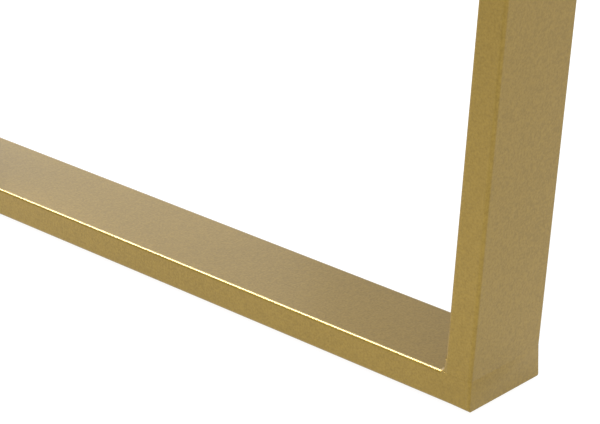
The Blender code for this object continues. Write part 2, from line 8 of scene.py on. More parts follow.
import bmesh
import bpy
import numpy as np
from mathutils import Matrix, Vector


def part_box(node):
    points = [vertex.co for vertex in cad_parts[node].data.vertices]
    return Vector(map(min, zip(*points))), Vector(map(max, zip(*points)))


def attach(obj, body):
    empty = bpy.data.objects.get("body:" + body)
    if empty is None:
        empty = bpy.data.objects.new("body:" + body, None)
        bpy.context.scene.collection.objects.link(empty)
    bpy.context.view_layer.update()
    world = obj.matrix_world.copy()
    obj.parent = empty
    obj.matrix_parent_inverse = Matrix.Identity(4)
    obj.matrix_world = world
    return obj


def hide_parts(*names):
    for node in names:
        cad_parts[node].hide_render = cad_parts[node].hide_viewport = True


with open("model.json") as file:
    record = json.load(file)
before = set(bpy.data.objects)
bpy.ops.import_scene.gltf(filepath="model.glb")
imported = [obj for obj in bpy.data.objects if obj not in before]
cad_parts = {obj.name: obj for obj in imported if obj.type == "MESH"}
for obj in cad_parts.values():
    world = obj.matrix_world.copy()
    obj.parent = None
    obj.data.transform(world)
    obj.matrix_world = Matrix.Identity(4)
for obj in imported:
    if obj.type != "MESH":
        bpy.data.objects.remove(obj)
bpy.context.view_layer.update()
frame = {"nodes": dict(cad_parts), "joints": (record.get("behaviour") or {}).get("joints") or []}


# ---------------------------------------------------------------------------------------------
# The leg frames: flat steel tube, cut, butt welded and ground flush, then sprayed all over with
# a satin gold enamel. The spray leaves a faint orange peel, fine metal flake, soft clouds of
# tone and the odd pit; the ground welds stay as hairlines in the flats.
# ---------------------------------------------------------------------------------------------

class Level:
    """A number, colour or vector that varies over a surface: one output socket of a material.

    Python's operators on it add Math nodes, so they are for numbers only.
    """

    def __init__(self, tree, socket):
        self.tree, self.socket = tree, socket

    def math(self, operation, *values, clamp=False):
        node = self.tree.nodes.new("ShaderNodeMath")
        node.operation = operation
        node.use_clamp = clamp
        for slot, value in zip(node.inputs, values):
            if isinstance(value, Level):
                self.tree.links.new(value.socket, slot)
            else:
                slot.default_value = value
        return Level(self.tree, node.outputs[0])

    def __add__(self, other):
        return self.math("ADD", self, other)

    def __sub__(self, other):
        return self.math("SUBTRACT", self, other)

    def __rsub__(self, other):
        return self.math("SUBTRACT", other, self)

    def __mul__(self, other):
        return self.math("MULTIPLY", self, other)

    def __truediv__(self, other):
        return self.math("DIVIDE", self, other)

    def __pow__(self, other):
        return self.math("POWER", self, other)

    __radd__ = __add__
    __rmul__ = __mul__

    def above(self, edge, softness):
        """0 below `edge`, 1 above it, with a straight ramp that is `softness` wide."""
        ramp = (self - (edge - softness / 2)) / softness
        return self.math("ADD", ramp, 0.0, clamp=True)


class Finish:
    """A material being mixed: one Principled shader and the nodes that feed it."""

    def __init__(self, name, **constants):
        self.material = bpy.data.materials.new(name)
        self.material.use_nodes = True
        self.tree = self.material.node_tree
        self.shader = self.tree.nodes["Principled BSDF"]
        self.set(**constants)

    def set(self, **values):
        """Sets or links the shader's sockets, named with underscores for their spaces."""
        for name, value in values.items():
            self.plug(self.shader.inputs[name.replace("_", " ")], value)

    def plug(self, socket, value):
        if isinstance(value, Level):
            self.tree.links.new(value.socket, socket)
        else:
            socket.default_value = value

    def add(self, kind, settings=(), output=0, **sockets):
        """One node of a kind: its settings first, then its sockets. Returns one of its outputs."""
        node = self.tree.nodes.new("ShaderNode" + kind)
        for key, value in dict(settings).items():
            setattr(node, key, value)
        for name, value in sockets.items():
            key = int(name[1:]) if name[0] == "_" else name.replace("_", " ")
            self.plug(node.inputs[key], value)
        return Level(self.tree, node.outputs[output])

    def place(self, scale=(1, 1, 1), source="Object"):
        """Where a point of the piece is, in metres, or in its own run of UVs, stretched by `scale`."""
        point = self.add("TexCoord", output=source)
        return self.add("Mapping", Vector=point, Scale=scale)

    def noise(self, where, per_metre, detail=2.0, roughness=0.5):
        """Fractal noise about 0.5, with this many lumps to the metre."""
        return self.add(
            "TexNoise", Vector=where, Scale=per_metre, Detail=detail, Roughness=roughness
        )

    def specks(self, where, per_metre, size, keep):
        """1 on small round specks, 0 elsewhere: Voronoi cells, of which a share `keep` has one."""
        cells = {"feature": "F1"}
        near = self.add("TexVoronoi", cells, "Distance", Vector=where, Scale=per_metre)
        colour = self.add("TexVoronoi", cells, "Color", Vector=where, Scale=per_metre)
        lot = self.add("SeparateColor", output=0, Color=colour)
        return (1 - near.above(size, size)) * (1 - lot.above(keep, 0.001))

    def tint(self, factor, low, high):
        """The colour `low` where factor is 0, `high` where it is 1."""
        mix = {"data_type": "RGBA", "clamp_factor": True}
        return self.add("Mix", mix, 2, _0=factor, _6=low, _7=high)

    def bump(self, height, depth, over=None):
        """A bump of `height` times `depth` metres, on top of another bump."""
        under = {"Normal": over} if over else {}
        return self.add("Bump", Height=height, Distance=depth, Strength=1.0, **under)


def gold_enamel():
    """Satin gold enamel: tone clouds, metal flake, orange peel, a few pits darkened as painted shade,
    and a painted highlight of paler enamel on the bars' upper edges.
    """
    base, light = (0.244, 0.157, 0.021, 1), (0.312, 0.205, 0.031, 1)
    # The second colour here is a painted highlight: paler enamel for the bars' upper edges.
    painted_pit_shade, highlight_pale = (0.10, 0.065, 0.015, 1), (0.62, 0.52, 0.30, 1)
    peel_depth, pit_depth = 0.000045, 0.00010
    finish = Finish("gold_enamel", Metallic=0.95, Coat_Roughness=0.15, Coat_IOR=1.5)
    here = finish.place()
    clouds = finish.noise(here, 9, 3)
    flake = finish.noise(here, 900, 1, 0.6)
    peel = finish.noise(here, 380, 2)
    pits = finish.specks(here, 55, 0.03, 0.06)
    tone = clouds * 0.25 + flake * 0.50 + peel * 0.25
    colour = finish.tint(tone.above(0.5, 0.22), base, light)
    # Painted highlight: the enamel is made paler where this point attribute is set, on the bars' upper
    # edges.
    highlight_paint = finish.add("Attribute", {"attribute_name": "Rubbed"}, "Fac")
    colour = finish.tint(highlight_paint * 0.55, colour, highlight_pale)
    # Pits get a darker colour: painted shade inside the pinholes, on top of their real bump and
    # roughness.
    finish.set(
        Base_Color=finish.tint(pits, colour, painted_pit_shade),
        Roughness=0.38 + clouds * 0.08 + pits * 0.2,
        Coat_Weight=0.50 + clouds * 0.1,
        Normal=finish.bump(pits * -1.0, pit_depth, finish.bump(peel, peel_depth)),
    )
    return finish.material


GOLD_ENAMEL = gold_enamel()
SIDES = (("left", -1), ("right", 1))
CORNER_STEPS = 6
SUPPORT = 0.0004        # a row of points this far into a flat keeps the flat's shading flat
FINEST_CORNER = 0.0002


def corner_radii(radii):
    """One radius, or a (bottom, top) pair, as the four corners' radii in the order they are drawn."""
    bottom, top = radii if np.ndim(radii) else (radii, radii)
    return top, top, bottom, bottom


def rounded_outline(left, right, bottom, top, radii, steps=CORNER_STEPS):
    """Points round a rectangle, anticlockwise from the upper right corner.

    Each corner is a quarter circle: centre + radius * (cos a, sin a), with one more point SUPPORT
    along the flat on either side of it.
    """
    points = []
    for quarter, radius in enumerate(corner_radii(radii)):
        angles = (quarter + np.linspace(0, 1, steps + 1)) * math.pi / 2
        across = right - radius if quarter in (0, 3) else left + radius
        up = top - radius if quarter in (0, 1) else bottom + radius
        arc = np.stack([across + radius * np.cos(angles), up + radius * np.sin(angles)], 1)
        run_in = np.array([np.sin(angles[0]), -np.cos(angles[0])]) * SUPPORT
        run_out = np.array([-np.sin(angles[-1]), np.cos(angles[-1])]) * SUPPORT
        points += [arc[:1] + run_in, arc, arc[-1:] + run_out]
    return np.concatenate(points)


def finish_piece(name, points, faces, material, body, replaces=(), runs=None, sharp=35,
                 highlight_paint=None):
    """Puts a skin in the scene, with outward faces and smooth shading between its sharp edges.

    `runs` is the UV of every face corner; the last argument is how strongly a painted highlight, paler
    enamel, lies at every point.
    """
    mesh = bpy.data.meshes.new(name)
    mesh.from_pydata(np.asarray(points).reshape(-1, 3).tolist(), [], faces)
    if runs is not None:
        layer = mesh.uv_layers.new(name="Run")
        layer.data.foreach_set("uv", np.asarray(runs, np.float32).ravel())
    bm = bmesh.new()
    bm.from_mesh(mesh)
    bmesh.ops.recalc_face_normals(bm, faces=bm.faces)
    bm.to_mesh(mesh)
    bm.free()
    # Stores the painted highlight's share at each point, read by the gold enamel.
    if highlight_paint is not None:
        mesh.attributes.new("Rubbed", "FLOAT", "POINT").data.foreach_set("value", highlight_paint)
    mesh.shade_smooth()
    mesh.set_sharp_from_angle(angle=math.radians(sharp))
    mesh.materials.append(material)
    piece = bpy.data.objects.new(name, mesh)
    bpy.context.scene.collection.objects.link(piece)
    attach(piece, body)
    if replaces:
        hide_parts(*replaces)
    return piece


def skin_over(rings):
    """Faces over rings of points: quads from each ring to the next, and a flat face on both ends.

    `runs` gives each face corner its distance along the rings and round them, in metres.
    """
    rings = np.asarray(rings, float)
    count, around = rings.shape[:2]
    index = np.arange(count * around).reshape(count, around)
    turned = np.roll(index, -1, 1)
    quads = np.stack([index[:-1], turned[:-1], turned[1:], index[1:]], -1).reshape(-1, 4)
    faces = quads.tolist() + [index[0, ::-1].tolist(), index[-1].tolist()]
    middle = rings.mean(1)
    along = np.concatenate([[0], np.cumsum(np.linalg.norm(np.diff(middle, axis=0), axis=1))])
    steps = np.linalg.norm(np.roll(rings, -1, 1) - rings, axis=2).mean(0)
    round_it = np.concatenate([[0], np.cumsum(steps)])
    u = np.broadcast_to(along[:, None], (count, around + 1))
    v = np.broadcast_to(round_it, (count, around + 1))
    uv = np.stack([u, v], -1)
    corners = np.stack([uv[:-1, :-1], uv[:-1, 1:], uv[1:, 1:], uv[1:, :-1]], 2).reshape(-1, 2)
    runs = np.concatenate([corners, uv[0, :-1][::-1], uv[-1, :-1]])
    return rings.reshape(-1, 3), faces, runs


def slab(low, high, edge, corner, axis=2, steps=4):
    """Rings of a flat board with rounded edges, stacked along `axis`.

    At angle a from 90 to 0 degrees the outline is drawn in by edge * (1 - cos a) and lies
    edge * (1 - sin a) from the end face; the corners of the outline keep `corner` as radius.
    """
    first, second = [(1, 2), (2, 0), (0, 1)][axis]
    angles = np.linspace(math.pi / 2, 0, steps + 1)
    inset = np.concatenate([[edge + SUPPORT], edge * (1 - np.cos(angles)), [0]])
    depth = np.concatenate([[0], edge * (1 - np.sin(angles)), [edge + SUPPORT]])
    rings = []
    for end, inward in ((low[axis], 1), (high[axis], -1)):
        stack = []
        for draw, down in zip(inset, depth):
            outline = rounded_outline(
                low[first] + draw, high[first] - draw,
                low[second] + draw, high[second] - draw,
                max(corner - draw, FINEST_CORNER),
            )
            ring = np.empty((len(outline), 3))
            ring[:, first], ring[:, second] = outline[:, 0], outline[:, 1]
            ring[:, axis] = end + inward * down
            stack.append(ring)
        rings += stack if inward > 0 else stack[::-1]
    return np.array(rings)


TUBE_CORNER = 0.0015
FILLED_CORNER = 0.00016     # the corner that is left where weld fills a tube's rounding
SHOULDER = 0.0014           # length over which weld runs out along the bar's rounding
SHOULDER_REACH = 0.004      # the last ring with rounding as it is on the free bar
PLATE_SEAM = 0.0026         # from the end of the bar to the seam of its end plate
PLATE_REACH = 0.012         # length over which the lower edges sharpen towards the end
FOOT_REACH = 0.0135         # the last ring under an upright's foot
SEAM_DEPTH, SEAM_HALF, SEAM_FADE = 0.00005, 0.00022, 0.002
END_ROUND_TOP, END_ROUND_FOOT = 0.0013, 0.00015
FOOT_CORNER = 0.0010        # the lower long edges of the tube, where they reach its end


def smooth(share):
    """Goes from 0 to 1 with level ends: 3 s^2 - 2 s^3, of a share clipped to 0..1."""
    share = np.clip(share, 0, 1)
    return share * share * (3 - 2 * share)


def base_rings(low, high, feet):
    """Rings along the base bar with its two end plates, ground to one surface.

    The upper corners go from the tube's radius to nearly square under the uprights' feet, where
    weld has filled them. At a distance d from an end the sides are drawn in by
    R - sqrt(R^2 - (R - d)^2), with R shrinking from the top of the plate to its foot. Across the
    seams of the plates the sides dip by SEAM_DEPTH * (1 - |d - seam| / SEAM_HALF). Also returns
    how much of its rounding the tube keeps at each ring.
    """
    near = np.concatenate([END_ROUND_TOP * (1 - np.cos(np.linspace(0, math.pi / 2, 8))),
                           PLATE_SEAM + SEAM_HALF * np.linspace(-1, 1, 5),
                           np.linspace(SHOULDER_REACH, FOOT_REACH, 8)])
    shoulder = np.concatenate([[-0.001], SHOULDER * np.linspace(0, 1.25, 12), [SHOULDER_REACH]])
    span = np.linspace(feet[0][1] + 0.01, feet[1][0] - 0.01, 30)
    y = np.concatenate([low.y + near, feet[0][1] + shoulder, span, feet[1][0] - shoulder,
                        high.y - near])
    y = np.unique(np.round(y, 6))
    inner = np.minimum(y - feet[0][1], feet[1][0] - y)
    free = smooth(inner / SHOULDER - 0.2)
    top = FILLED_CORNER + (TUBE_CORNER - FILLED_CORNER) * free
    depth = np.minimum(y - low.y, high.y - y)
    foot = FOOT_CORNER + (TUBE_CORNER - FOOT_CORNER) * smooth(depth / PLATE_REACH)
    sides = low.x, high.x, low.z, high.z
    rings = np.array([rounded_outline(*sides, radii) for radii in zip(foot, top)])
    x, z = rings[:, :, 0], rings[:, :, 1]
    rise = smooth((z - low.z) / (high.z - low.z))
    radius = END_ROUND_FOOT + (END_ROUND_TOP - END_ROUND_FOOT) * rise
    short = np.clip(radius - depth[:, None], 0, radius)
    draw = radius - np.sqrt(radius**2 - short**2)
    seam = np.clip(1 - np.abs(depth - PLATE_SEAM) / SEAM_HALF, 0, 1)[:, None]
    draw = draw + SEAM_DEPTH * seam * smooth((high.z - z) / SEAM_FADE)
    middle = (low.x + high.x) / 2
    x = middle + np.sign(x - middle) * np.minimum(np.abs(x - middle), (high.x - low.x) / 2 - draw)
    return np.stack([x, np.broadcast_to(y[:, None], x.shape), z], -1), free


FROM_MIDDLE = 1e4           # turns a distance from the middle into a side, from -1 to 1


def upright_rings(low_x, high_x, foot, head, foot_z, head_z, inner):
    """Rings up a leaning tube: at height share t the outline is the foot's, moved by t times
    the lean. Just above the foot and below the head the outline is drawn in a hairline, which
    the grinding has left on the inner side of the frame and wiped out towards the outer one.
    """
    height = head_z - foot_z
    hairline = SEAM_HALF * np.array([0, 0.5, 1, 1.6]) / height
    shares = np.concatenate([hairline, np.linspace(0.004, 0.996, 24), 1 - hairline[::-1]])
    lean = shares[:, None] * (head[0] - foot[0])
    ring = rounded_outline(low_x, high_x, *foot, TUBE_CORNER)
    x = np.broadcast_to(ring[:, 0], (len(shares), len(ring)))
    y = ring[:, 1] + lean
    middle_x, middle_y = (low_x + high_x) / 2, (foot[0] + foot[1]) / 2 + lean
    left = smooth((y - middle_y) * inner / (foot[1] - foot[0]) * 1.2 + 0.42)
    edge = np.minimum(shares, 1 - shares) * height
    draw = SEAM_DEPTH * np.clip(1 - edge / SEAM_HALF, 0, 1)[:, None] * left
    x = x - np.clip((x - middle_x) * FROM_MIDDLE, -1, 1) * draw
    y = y - np.clip((y - middle_y) * inner * FROM_MIDDLE, 0, 1) * inner * draw
    z = foot_z + height * shares[:, None]
    return np.stack([x, y, np.broadcast_to(z, x.shape)], -1)


WELD_LEG, WELD_RISE = 0.0032, 0.0090
WELD_END, WELD_DRESSED = 0.70, 0.0030       # the legs' share left at a side, and how far in
WELD_INSET = 0.00012                        # a bead ends this far inside the tube's sides


def weld_rings(low_x, high_x, corner, leg_y, leg_z, seed):
    """Rings along a hollow fillet weld between a bar, or a head plate, and an upright.

    Its face is a quarter ellipse, (1 - sin a) * leg_y out and (1 - cos a) * leg_z up, that
    lies level on both. The legs swell as 1 + 0.06 * sin(k x) * sin(m x) along the bead, and
    shrink over the last 3 mm, where the bead was dressed off. At a distance d from a side of
    the upright the bead goes back by R - sqrt(R^2 - (R - d)^2), with the tube's rounding.
    """
    width = high_x - low_x
    x = low_x + width * (1 - np.cos(np.linspace(0, math.pi, 120))) / 2
    edge = np.minimum(x - low_x, high_x - x)
    swell = 1 + 0.06 * np.sin(900 * x + seed) * np.sin(260 * x + 2 * seed)
    swell = swell * (WELD_END + (1 - WELD_END) * smooth(edge / WELD_DRESSED))
    short = np.clip(TUBE_CORNER - edge, 0, TUBE_CORNER)
    back = np.sign(leg_y) * (TUBE_CORNER - np.sqrt(TUBE_CORNER**2 - short**2))
    angles = np.linspace(0, math.pi / 2, 13)
    out = np.concatenate([[-0.70, 1.02], 1 - np.sin(angles), [-0.10]])
    up = np.concatenate([[-0.20, -0.20], 1 - np.cos(angles), [1.0]])
    rings = np.empty((len(x), len(out), 3))
    rings[:, :, 0] = x[:, None]
    rings[:, :, 1] = corner[0] - back[:, None] + leg_y * swell[:, None] * out
    rings[:, :, 2] = corner[1] + leg_z * swell[:, None] * up
    return rings


def pan_screw(centre, along, across, head=0.0040, rise=0.0016):
    """Rings of a cross-recessed pan head: a height over a disc, then the flat that closes it.

    height = rise * (1 - (r / head)^4)^0.5, less a cross of two arms that is cut down into it.
    """
    along, across = np.array(along, float), np.array(across, float)
    other = np.cross(along, across)
    r = np.concatenate([[0.02], np.linspace(0.08, 1, 20) ** 0.9])
    angles = np.linspace(0, math.tau, 48, endpoint=False)
    radius, angle = np.meshgrid(r, angles, indexing="ij")
    x, y = radius * np.cos(angle), radius * np.sin(angle)
    arms = np.minimum(np.abs(x), np.abs(y))
    reach = np.maximum(np.abs(x), np.abs(y))
    cut = np.clip((0.13 - arms) / 0.05, 0, 1) * np.clip((0.62 - reach) / 0.08, 0, 1)
    dome = np.sqrt(np.clip(1 - radius**4, 0, 1))
    height = rise * (0.12 + 0.88 * dome) * (1 - 0.62 * cut)
    top = (x[..., None] * across + y[..., None] * other) * head + height[..., None] * along
    below = (x[-1:, :, None] * across + y[-1:, :, None] * other) * head
    return np.concatenate([top, below]) + np.array(centre)


def several(groups):
    """Skins over several groups of rings as one: points, faces and runs."""
    points, faces, runs, before = [], [], [], 0
    for group in groups:
        p, f, u = skin_over(group)
        points.append(p)
        runs.append(u)
        faces += [[corner + before for corner in face] for face in f]
        before += len(p)
    return np.concatenate(points), faces, np.concatenate(runs)


def zinc_plate():
    """Bright zinc plating: bluish grey with faint yellow passivation, streaks and spangle."""
    finish = Finish("zinc_plate", Metallic=1.0)
    here = finish.place()
    spangle = finish.noise(here, 260, 3)
    haze = finish.noise(here, 22, 2)
    cold, warm = (0.46, 0.49, 0.53, 1), (0.60, 0.585, 0.53, 1)
    finish.set(
        Base_Color=finish.tint(haze.above(0.5, 0.3), cold, warm),
        Roughness=0.26 + spangle * 0.16,
        Normal=finish.bump(spangle, 0.00002),
    )
    return finish.material


ZINC_PLATE = zinc_plate()


def black_nylon():
    """Moulded black nylon: fine spark-eroded grain, scuffed grey in places."""
    finish = Finish("black_nylon")
    here = finish.place()
    grain = finish.noise(here, 1700, 2)
    scuff = finish.noise(here, 130, 3).above(0.62, 0.12)
    finish.set(
        Base_Color=finish.tint(scuff * 0.5, (0.018, 0.018, 0.019, 1), (0.07, 0.07, 0.068, 1)),
        Roughness=0.48 + grain * 0.2,
        Normal=finish.bump(grain, 0.00004),
    )
    return finish.material


BLACK_NYLON = black_nylon()


def repaint(material, *names):
    """A CAD node keeps its shape and takes this material."""
    for name in names:
        slots = frame["nodes"][name].data.materials
        slots.clear()
        slots.append(material)


# A painted highlight: how pale the enamel is painted from the top of an upper corner to its side,
# one entry for each point of the outline. It makes the bright line on that edge less yellow.
PAINTED_HIGHLIGHT_FROM_TOP = np.array([0, 0.3, 1.0, 0.7, 0, 0, 0, 0, 0])
HEAD_EDGE = 0.0008
FRAME_SCREWS = ((-0.160, 0.3), (-0.0533, 1.1), (0.0533, 0.7), (0.160, 1.4))     # place, turn
for side, _ in SIDES:
    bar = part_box(f"{side}_base_bar")
    front_cap, back_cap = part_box(f"{side}_base_cap_front"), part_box(f"{side}_base_cap_back")
    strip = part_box(f"{side}_head_strip")
    low, high = bar[0].copy(), bar[1].copy()
    low.y, high.y = front_cap[0].y, back_cap[1].y
    feet = []
    for end, inner in (("front", 1), ("back", -1)):
        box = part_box(f"{side}_{end}_upright")
        out_foot = low.y if inner > 0 else high.y
        out_head, in_foot = (box[0].y, box[1].y) if inner > 0 else (box[1].y, box[0].y)
        in_head = out_head - out_foot + in_foot
        foot = sorted((out_foot, in_foot))
        feet.append(foot)
        points, faces, runs = skin_over(upright_rings(
            low.x, high.x, foot, sorted((out_head, in_head)), high.z, strip[0].z, inner
        ))
        finish_piece(f"{side}_{end}_upright_tube", points, faces, GOLD_ENAMEL, "table",
                     [f"{side}_{end}_upright"], runs)
        inside = (low.x + WELD_INSET, high.x - WELD_INSET)
        points, faces, runs = several([
            weld_rings(*inside, (in_foot, high.z), inner * WELD_LEG, WELD_RISE, 1 + inner),
            weld_rings(*inside, (in_head, strip[0].z), inner * WELD_LEG, -WELD_RISE, 4 + inner),
        ])
        finish_piece(f"{side}_{end}_welds", points, faces, GOLD_ENAMEL, "table",
                     (), runs)
    rings, free = base_rings(low, high, feet)
    points, faces, runs = skin_over(rings)
    # Painted highlight on the bar's upper corners, faded out where weld fills them; none on the lower
    # ones.
    upper = np.concatenate([PAINTED_HIGHLIGHT_FROM_TOP[::-1], PAINTED_HIGHLIGHT_FROM_TOP])
    highlight_paint = free[:, None] * np.concatenate([upper, 0 * upper])
    caps = [f"{side}_base_cap_front", f"{side}_base_cap_back"]
    finish_piece(f"{side}_base_tube", points, faces, GOLD_ENAMEL, "table",
                 [f"{side}_base_bar", *caps], runs, highlight_paint=highlight_paint.ravel().astype(np.float32))
    points, faces, runs = skin_over(slab(*strip, HEAD_EDGE, TUBE_CORNER))
    finish_piece(f"{side}_head_plate", points, faces, GOLD_ENAMEL, "table",
                 [f"{side}_head_strip"], runs)
    middle_x, middle_y = (strip[0].x + strip[1].x) / 2, (strip[0].y + strip[1].y) / 2
    heads = [
        pan_screw((middle_x, middle_y + place, strip[0].z), (0, 0, -1),
                  (math.cos(turn), math.sin(turn), 0))
        for place, turn in FRAME_SCREWS
    ]
    points, faces, runs = several(heads)
    finish_piece(f"{side}_frame_screws", points, faces, ZINC_PLATE, "table")
    repaint(BLACK_NYLON, f"{side}_front_glide", f"{side}_back_glide")


# ---------------------------------------------------------------------------------------------
# The cabinet: six fibreboard panels faced and edged with flat-cut walnut veneer, sanded round
# at the edges, oiled and sealed with a satin varnish, and screwed together from inside.
# ---------------------------------------------------------------------------------------------

def walnut_veneer(name, along, leaf):
    """Flat-cut walnut with its grain along one axis.

    Growth rings are the contours of one noise, stretched 14 times as long as it is wide: ring =
    fract(rings * noise), so they close into long cathedral arches. Pores are short dark dashes
    of a finer noise, stretched 40 times; the veneer's leaves differ a little in tone.
    """
    finish = Finish(name, Coat_Roughness=0.30, Coat_IOR=1.4, Specular_IOR_Level=0.35)
    across = 2.6
    wide = [across] * 3
    wide[along] = across / 14
    fine = [420.0] * 3
    fine[along] = 10.0
    dashes = [1500.0] * 3
    dashes[along] = 38.0
    figure = finish.noise(finish.place(wide), 1, 2.0, 0.42)
    drift = finish.noise(finish.place(fine), 1, 2, 0.55)
    rings = figure * 24 + drift * 0.22
    ring = rings.math("FRACT", rings)
    late = ring**3 * (1 - ring.above(0.97, 0.06))
    pores = finish.noise(finish.place(dashes), 1, 1, 0.5).above(0.66, 0.06)
    fibre = finish.noise(finish.place([1.6 * scale for scale in fine]), 1, 2, 0.6)
    point = finish.add("SeparateXYZ", output=leaf, Vector=finish.place())
    sheet = point * 4.4 + 0.37
    sheet = sheet.math("FLOOR", sheet) * 12.9898
    tone = (sheet.math("SINE", sheet) * 43.7).math("FRACT", sheet.math("SINE", sheet) * 43.7)
    light, deep = (0.200, 0.092, 0.036, 1), (0.112, 0.046, 0.017, 1)
    wood = finish.tint(fibre * 0.45 + figure * 0.35 + tone * 0.2, light, deep)
    wood = finish.tint(late * 0.62, wood, (0.046, 0.019, 0.008, 1))
    wood = finish.tint(pores * 0.55, wood, (0.026, 0.013, 0.007, 1))
    finish.set(
        Base_Color=wood,
        Roughness=0.42 + pores * 0.2 - fibre * 0.06,
        Coat_Weight=0.16 - pores * 0.1,
        Normal=finish.bump(pores * -1.0 + fibre * 0.3, 0.00005),
    )
    return finish.material


X_AXIS, Y_AXIS, Z_AXIS = 0, 1, 2
WALNUT_LONG = walnut_veneer("walnut_long", X_AXIS, Y_AXIS)
WALNUT_DEEP = walnut_veneer("walnut_deep", Y_AXIS, Z_AXIS)
# Each panel's flat direction, its edges' rounding, its corners' radius and its veneer.
PANELS = {
    "table_top": (Z_AXIS, 0.0022, 0.0030, WALNUT_LONG),
    "bottom_panel": (Z_AXIS, 0.0008, 0.0008, WALNUT_LONG),
    "back_panel": (Y_AXIS, 0.0008, 0.0008, WALNUT_LONG),
    "centre_divider": (X_AXIS, 0.0008, 0.0008, WALNUT_DEEP),
    "left_side_panel": (X_AXIS, 0.0012, 0.0012, WALNUT_DEEP),
    "right_side_panel": (X_AXIS, 0.0012, 0.0012, WALNUT_DEEP),
}
for name, (axis, edge, corner, veneer) in PANELS.items():
    points, faces, runs = skin_over(slab(*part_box(name), edge, corner, axis))
    finish_piece(f"{name}_board", points, faces, veneer, "table", [name], runs)


# ---------------------------------------------------------------------------------------------
# The drawers: a walnut front over a box of foiled boards, with a grey flocked bottom let
# into grooves. The front is held by two screws from inside the box, the handle by two more.
# ---------------------------------------------------------------------------------------------

def drawer_foil():
    """Pale grey printed foil: a fine linen weave along and across the board, slightly matt."""
    finish = Finish("drawer_foil")
    here = finish.place()
    warp = finish.noise(finish.place((60, 2200, 2200)), 1, 1)
    weft = finish.noise(finish.place((2200, 60, 2200)), 1, 1)
    rise = finish.noise(finish.place((900, 900, 40)), 1, 1)
    weave = warp * 0.4 + weft * 0.3 + rise * 0.3
    clouds = finish.noise(here, 7, 2)
    tone = weave * 0.7 + clouds * 0.3
    finish.set(
        Base_Color=finish.tint(tone.above(0.5, 0.3), (0.56, 0.555, 0.54, 1), (0.70, 0.695, 0.68, 1)),
        Roughness=0.50 + weave * 0.2,
        Normal=finish.bump(weave, 0.00003),
    )
    return finish.material


def grey_flock():
    """Flocked grey felt: short fibres brushed into lighter and darker clouds."""
    finish = Finish("grey_flock", Sheen_Weight=0.35, Sheen_Roughness=0.5)
    here = finish.place()
    fibre = finish.noise(here, 2600, 3, 0.7)
    brushed = finish.noise(here, 26, 3, 0.6)
    tone = fibre * 0.55 + brushed * 0.45
    finish.set(
        Base_Color=finish.tint(tone.above(0.5, 0.34), (0.10, 0.10, 0.105, 1), (0.24, 0.24, 0.25, 1)),
        Roughness=0.92 + fibre * 0.06,
        Normal=finish.bump(fibre, 0.0002),
    )
    return finish.material


def drawn_gold():
    """Gold plated metal under clear satin lacquer, brushed along the run of the piece.

    The hairlines are noise stretched 60 times as long along the run as across it.
    """
    finish = Finish("drawn_gold", Metallic=1.0, Coat_Roughness=0.25, Coat_IOR=1.5)
    hairs = finish.noise(finish.place((45, 2600, 1), "UV"), 1, 3, 0.6)
    clouds = finish.noise(finish.place(), 16, 2)
    tone = hairs * 0.6 + clouds * 0.4
    finish.set(
        Base_Color=finish.tint(tone.above(0.5, 0.4), (0.36, 0.245, 0.085, 1), (0.48, 0.345, 0.135, 1)),
        Roughness=0.25 + hairs * 0.16,
        Coat_Weight=0.20 + clouds * 0.1,
        Normal=finish.bump(hairs, 0.000018),
    )
    return finish.material


DRAWER_FOIL = drawer_foil()
GREY_FLOCK = grey_flock()
DRAWN_GOLD = drawn_gold()
HANDLE_STEPS = 28
HANDLE_ROD, HANDLE_BEND = 0.0045, 0.011     # radii of the rod, and of its bends
FRONT_SCREW = 0.09                          # from the handle to a screw that holds the front


def rod_rings(path, radius, around=HANDLE_STEPS, up=(0, 0, 1), ends=0.0006):
    """Rings of a round rod: centre + radius * (cos a * side + sin a * up) at each point of a flat
    path, where side is the path's direction turned about `up`. Both ends have a small chamfer."""
    path = np.asarray(path, float)
    direction = np.gradient(path, axis=0)
    direction /= np.linalg.norm(direction, axis=1)[:, None]
    up = np.array(up, float)
    side = np.cross(direction, up)
    angles = np.linspace(0, math.tau, around, endpoint=False)
    centres = np.concatenate([path[:1], path[:1] + direction[:1] * ends, path[1:-1],
                              path[-1:] - direction[-1:] * ends, path[-1:]])
    side = np.concatenate([side[:1], side[:1], side[1:-1], side[-1:], side[-1:]])
    radii = np.full(len(centres), radius)
    radii[[0, -1]] -= ends
    ring = np.cos(angles)[None, :, None] * side[:, None] + np.sin(angles)[None, :, None] * up
    return centres[:, None] + radii[:, None, None] * ring


def bar_handle_path(low, high, rod, bend):
    """The middle line of a bar handle: out from the front, round a quarter circle, along, back."""
    front, reach = high.y, low.y + rod
    middle = (low.z + high.z) / 2
    left, right = low.x + rod, high.x - rod
    angles = np.linspace(0, math.pi / 2, 15)
    first = np.stack([left + bend * (1 - np.cos(angles)),
                      reach + bend * (1 - np.sin(angles))], 1)
    last = np.stack([right - bend * (1 - np.cos(angles[::-1])),
                     reach + bend * (1 - np.sin(angles[::-1]))], 1)
    along = np.linspace(left + bend, right - bend, 22)[1:-1]
    flat = np.stack([along, np.full(len(along), reach)], 1)
    leg = np.linspace(front, reach + bend, 5)[:-1]
    out = np.stack([np.full(4, left), leg], 1)
    back = np.stack([np.full(4, right), leg[::-1]], 1)
    plan = np.concatenate([out, first, flat, last, back])
    return np.stack([plan[:, 0], plan[:, 1], np.full(len(plan), middle)], 1)


